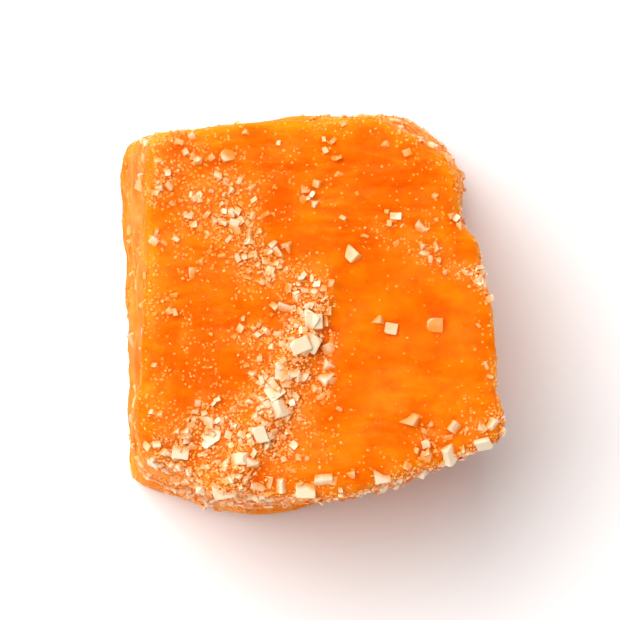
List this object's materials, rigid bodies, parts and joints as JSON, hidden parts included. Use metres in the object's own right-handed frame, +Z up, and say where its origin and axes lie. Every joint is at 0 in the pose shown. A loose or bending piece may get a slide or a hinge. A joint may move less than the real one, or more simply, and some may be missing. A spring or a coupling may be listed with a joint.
{
  "type": "candied pineapple cube",
  "caption": "Cube of candied pineapple with round edges, slightly sunken sides, a cut corner, a fold on top and coarse sugar stuck to it, lying on its flat underside.",
  "frame": {"origin": "centre of the box's bottom, on the flat underside that the cube lies on", "axes": "+Z up, towards the face shown in the picture; +X to the right and +Y to the top of the picture"},
  "size_m": [0.0142, 0.0152, 0.0127],
  "materials": {
    "candied_fruit": "translucent candied fruit, dyed orange, with a dusting of fine sugar and coarse white sugar crystals"
  },
  "bodies": {
    "root": {"candied_cube": "candied_fruit"}
  },
  "joints": []
}
